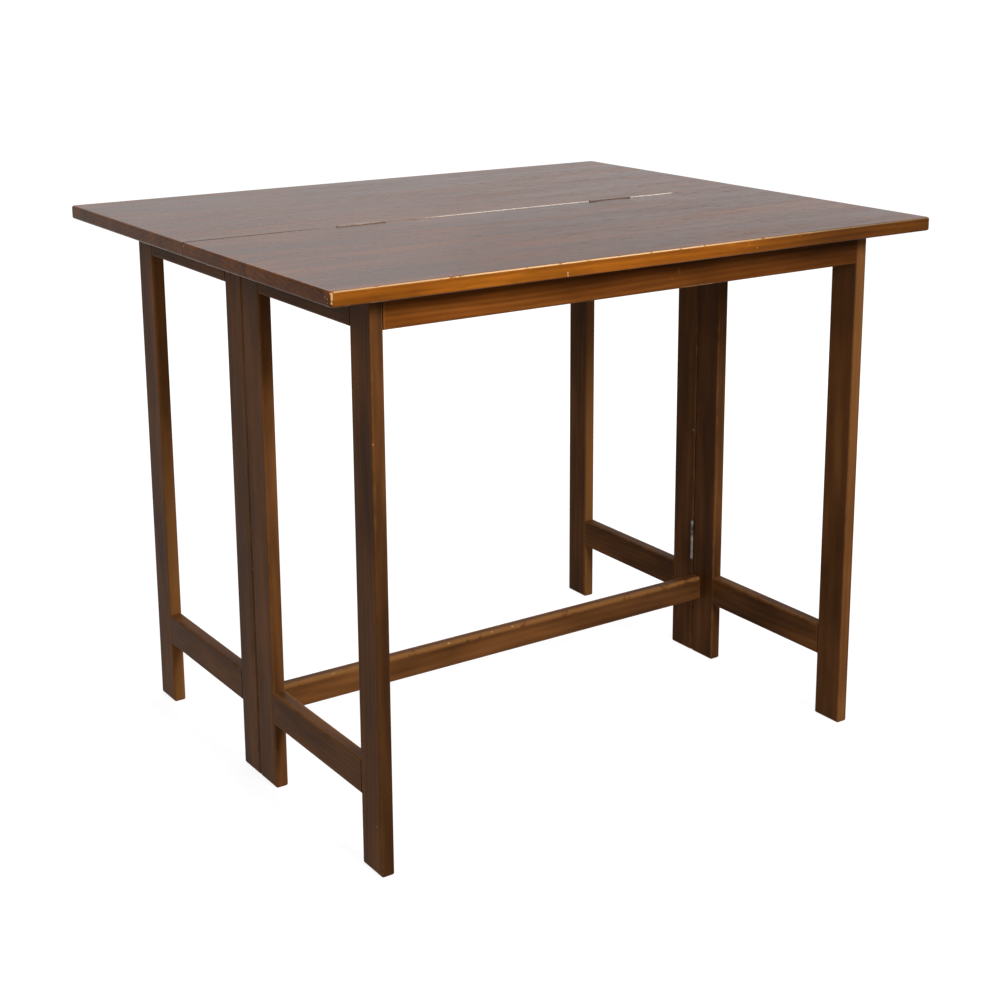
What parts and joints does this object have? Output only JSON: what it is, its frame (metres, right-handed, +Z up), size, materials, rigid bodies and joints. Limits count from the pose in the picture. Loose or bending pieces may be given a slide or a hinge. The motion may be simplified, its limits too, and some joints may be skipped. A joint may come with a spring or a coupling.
{
  "type": "folding table",
  "caption": "Wooden flip-top gateleg table: a fixed frame carries the front leaf, the rear leaf folds over it on hinges, and side gates swing out to hold it open.",
  "frame": {"origin": "on the floor under the middle of the opened top; the seam between the leaves is at Y = 0", "axes": "+X along the seam to the right, +Y to the back where the gates stand, +Z up"},
  "size_m": [0.95, 0.8, 0.7637],
  "materials": {
    "stained_wood": "dark walnut stain under a satin lacquer, arrises worn pale",
    "cleat_wood": "stained wood without lacquer, inside the frame",
    "dowel_wood": "plain beech",
    "gate_hinge_metal": "nickel-plated steel, dulled",
    "leaf_hinge_metal": "dark bronzed brass, worn",
    "screw_steel": "zinc-plated steel"
  },
  "bodies": {
    "frame": {"cleat_screws": "screw_steel", "frame_dowels": "dowel_wood", "frame_hinge_screws": "gate_hinge_metal", "front_apron": "stained_wood", "front_leaf": "stained_wood", "front_leaf_hinge_screws": "leaf_hinge_metal", "front_leg_left": "stained_wood", "front_leg_right": "stained_wood", "gate_hinge_left_lower_fixed_plate": "gate_hinge_metal", "gate_hinge_left_lower_pin": "gate_hinge_metal", "gate_hinge_left_upper_fixed_plate": "gate_hinge_metal", "gate_hinge_left_upper_pin": "gate_hinge_metal", "gate_hinge_right_lower_fixed_plate": "gate_hinge_metal", "gate_hinge_right_lower_pin": "gate_hinge_metal", "gate_hinge_right_upper_fixed_plate": "gate_hinge_metal", "gate_hinge_right_upper_pin": "gate_hinge_metal", "leaf_hinge_left_fixed_plate": "leaf_hinge_metal", "leaf_hinge_left_pin": "leaf_hinge_metal", "leaf_hinge_right_fixed_plate": "leaf_hinge_metal", "leaf_hinge_right_pin": "leaf_hinge_metal", "lower_stretcher": "stained_wood", "middle_leg_left": "stained_wood", "middle_leg_right": "stained_wood", "rear_apron": "stained_wood", "side_lower_rail_left": "stained_wood", "side_lower_rail_right": "stained_wood", "side_top_rail_left": "stained_wood", "side_top_rail_right": "stained_wood", "top_cleat_left": "cleat_wood", "top_cleat_right": "cleat_wood"},
    "gate_left": {"gate_dowels_left": "dowel_wood", "gate_hinge_left_lower_moving_plate": "gate_hinge_metal", "gate_hinge_left_upper_moving_plate": "gate_hinge_metal", "gate_hinge_leg_left": "stained_wood", "gate_hinge_screws_left": "gate_hinge_metal", "gate_lower_rail_left": "stained_wood", "gate_rear_leg_left": "stained_wood", "gate_top_rail_left": "stained_wood"},
    "gate_right": {"gate_dowels_right": "dowel_wood", "gate_hinge_leg_right": "stained_wood", "gate_hinge_right_lower_moving_plate": "gate_hinge_metal", "gate_hinge_right_upper_moving_plate": "gate_hinge_metal", "gate_hinge_screws_right": "gate_hinge_metal", "gate_lower_rail_right": "stained_wood", "gate_rear_leg_right": "stained_wood", "gate_top_rail_right": "stained_wood"},
    "flip_leaf": {"leaf_hinge_left_moving_plate": "leaf_hinge_metal", "leaf_hinge_right_moving_plate": "leaf_hinge_metal", "rear_leaf": "stained_wood", "rear_leaf_hinge_screws": "leaf_hinge_metal"}
  },
  "joints": [
    {"name": "gate_left_swing", "type": "hinge", "parent": "frame", "child": "gate_left", "pos_m": [-0.38, -0.01, 0], "axis": [0, 0, -1], "range_deg": [0, 90]},
    {"name": "gate_right_swing", "type": "hinge", "parent": "frame", "child": "gate_right", "pos_m": [0.38, -0.01, 0], "axis": [0, 0, 1], "range_deg": [0, 90]},
    {"name": "leaf_flip", "type": "hinge", "parent": "frame", "child": "flip_leaf", "pos_m": [0, 0, 0.76225], "axis": [1, 0, 0], "range_deg": [0, 180]}
  ]
}
